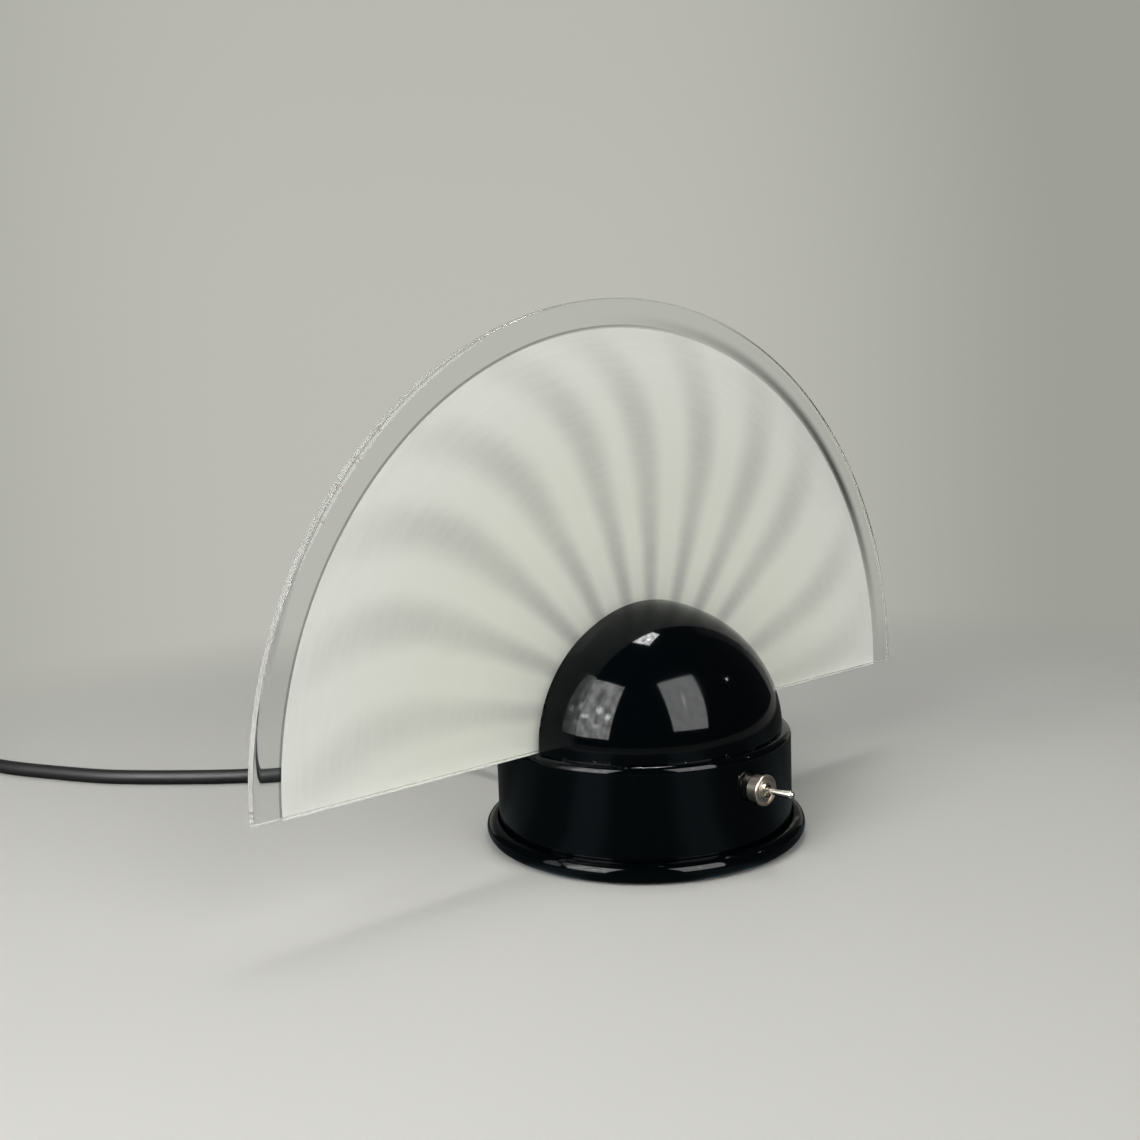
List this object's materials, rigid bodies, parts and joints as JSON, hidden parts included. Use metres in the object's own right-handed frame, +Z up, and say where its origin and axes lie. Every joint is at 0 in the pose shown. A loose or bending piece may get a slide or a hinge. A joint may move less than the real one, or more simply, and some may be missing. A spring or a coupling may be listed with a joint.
{
  "type": "glass table lamp",
  "caption": "Table lamp: a half-round white-backed glass fan on a gloss black drum between two quarter domes, with a toggle switch in front and a mains cord.",
  "frame": {"origin": "on the drum's axis at the surface the lamp stands on", "axes": "+Z up, -Y the front with the switch, +X to the right seen from the front"},
  "size_m": [0.461, 0.4865, 0.2145],
  "materials": {
    "black_lacquer": "gloss stoved lacquer on spun steel",
    "clear_glass": "polished clear plate glass",
    "bulb_glass": "clear blown glass",
    "white_enamel": "fired white enamel with soft grey rays",
    "zinc_steel": "zinc plated steel",
    "nickel": "bright nickel plate",
    "felt": "black felt",
    "black_rubber": "satin rubber",
    "cord_pvc": "black PVC",
    "cord_tie": "soft tie strap",
    "black_phenolic": "moulded phenolic",
    "white_nylon": "natural nylon",
    "brass": "bright brass",
    "aluminium": "pressed aluminium",
    "lead_pvc": "single core insulation"
  },
  "bodies": {
    "lamp": {"base_drum": "black_lacquer", "base_plate": "zinc_steel", "bracket_nuts": "zinc_steel", "bracket_screws": "zinc_steel", "bulb_cap": "aluminium", "bulb_contact": "brass", "bulb_filament": "zinc_steel", "bulb_glass": "bulb_glass", "bulb_insulator": "black_phenolic", "bulb_stem": "bulb_glass", "clamp_cap": "white_nylon", "clamp_saddle": "white_nylon", "clamp_screws": "zinc_steel", "cord_coil": "cord_pvc", "cord_inner_tail": "cord_pvc", "cord_lead": "cord_pvc", "cord_tie": "cord_tie", "dome_screws": "zinc_steel", "drum_posts": "zinc_steel", "felt_disc": "felt", "front_dome": "black_lacquer", "glass_bolt_nuts": "zinc_steel", "glass_bolts": "zinc_steel", "glass_brackets": "zinc_steel", "glass_bushes": "black_rubber", "glass_fan": "clear_glass", "glass_pads": "black_rubber", "glass_seats": "black_rubber", "holder_body": "black_phenolic", "holder_contact": "brass", "holder_insert": "black_phenolic", "holder_screw_shell": "brass", "holder_strap": "zinc_steel", "lamp_leads": "lead_pvc", "lever_pin": "zinc_steel", "nipple": "zinc_steel", "nipple_nut": "zinc_steel", "plate_screws": "zinc_steel", "plug_body": "cord_pvc", "plug_pins": "nickel", "post_screws": "zinc_steel", "rear_dome": "black_lacquer", "strain_relief": "black_rubber", "strap_nuts": "zinc_steel", "strap_screws": "zinc_steel", "supply_cores": "lead_pvc", "switch_body": "black_phenolic", "switch_bushing": "nickel", "switch_dress_nut": "nickel", "switch_inner_nut": "nickel", "switch_terminals": "brass", "terminal_block": "white_nylon", "terminal_inserts": "brass", "terminal_screws": "zinc_steel", "white_enamel": "white_enamel"},
    "lever": {"switch_lever": "nickel", "switch_plunger": "black_phenolic", "plunger_spring": "zinc_steel"},
    "rocker": {"rocker_contact": "brass"}
  },
  "joints": [
    {"name": "switch_toggle", "type": "hinge", "parent": "lamp", "child": "lever", "pos_m": [0, -0.0623, 0.0296], "axis": [0, 0, 1], "range_deg": [-20, 0]},
    {"name": "rocker_tilt", "type": "hinge", "parent": "lamp", "child": "rocker", "pos_m": [0, -0.04852, 0.0296], "axis": [0, 0, 1], "range_deg": [0, 12]}
  ],
  "couplings": [
    {"joint": "rocker_tilt", "follows": "switch_toggle", "ratio": -0.6}
  ]
}
